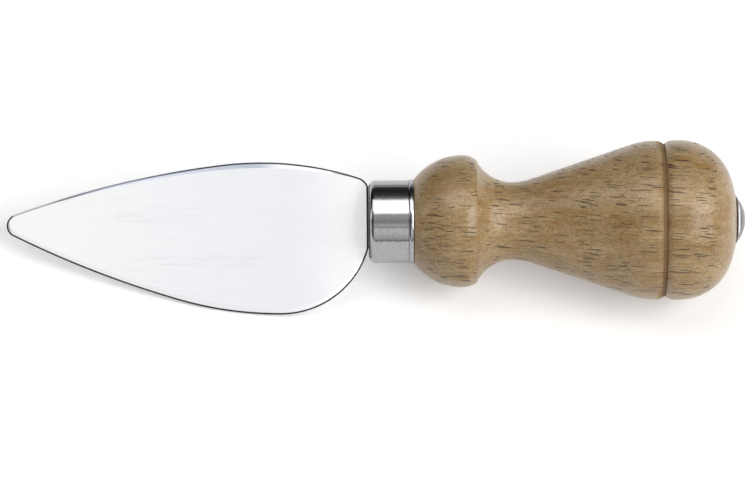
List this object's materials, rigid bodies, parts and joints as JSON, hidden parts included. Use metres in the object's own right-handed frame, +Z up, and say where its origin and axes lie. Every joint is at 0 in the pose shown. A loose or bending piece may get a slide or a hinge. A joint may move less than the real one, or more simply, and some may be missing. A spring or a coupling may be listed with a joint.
{
  "type": "parmesan knife",
  "caption": "Hard cheese knife with an almond-shaped steel blade, a metal ferrule, a turned wooden handle with a round knob, and a domed metal washer on its butt.",
  "frame": {"origin": "on the table, under the middle of the knife's bounding box as it lies at rest", "axes": "+X along the knife from its tip to its butt, +Y towards the blade's spine, +Z up from the table"},
  "size_m": [0.221, 0.0478, 0.0483],
  "materials": {
    "satin_steel": "satin",
    "polished_metal": "polished",
    "lacquered_beech": "gloss"
  },
  "bodies": {
    "root": {"blade": "satin_steel", "ferrule": "polished_metal", "handle": "lacquered_beech", "rivet_washer": "polished_metal"}
  },
  "joints": []
}
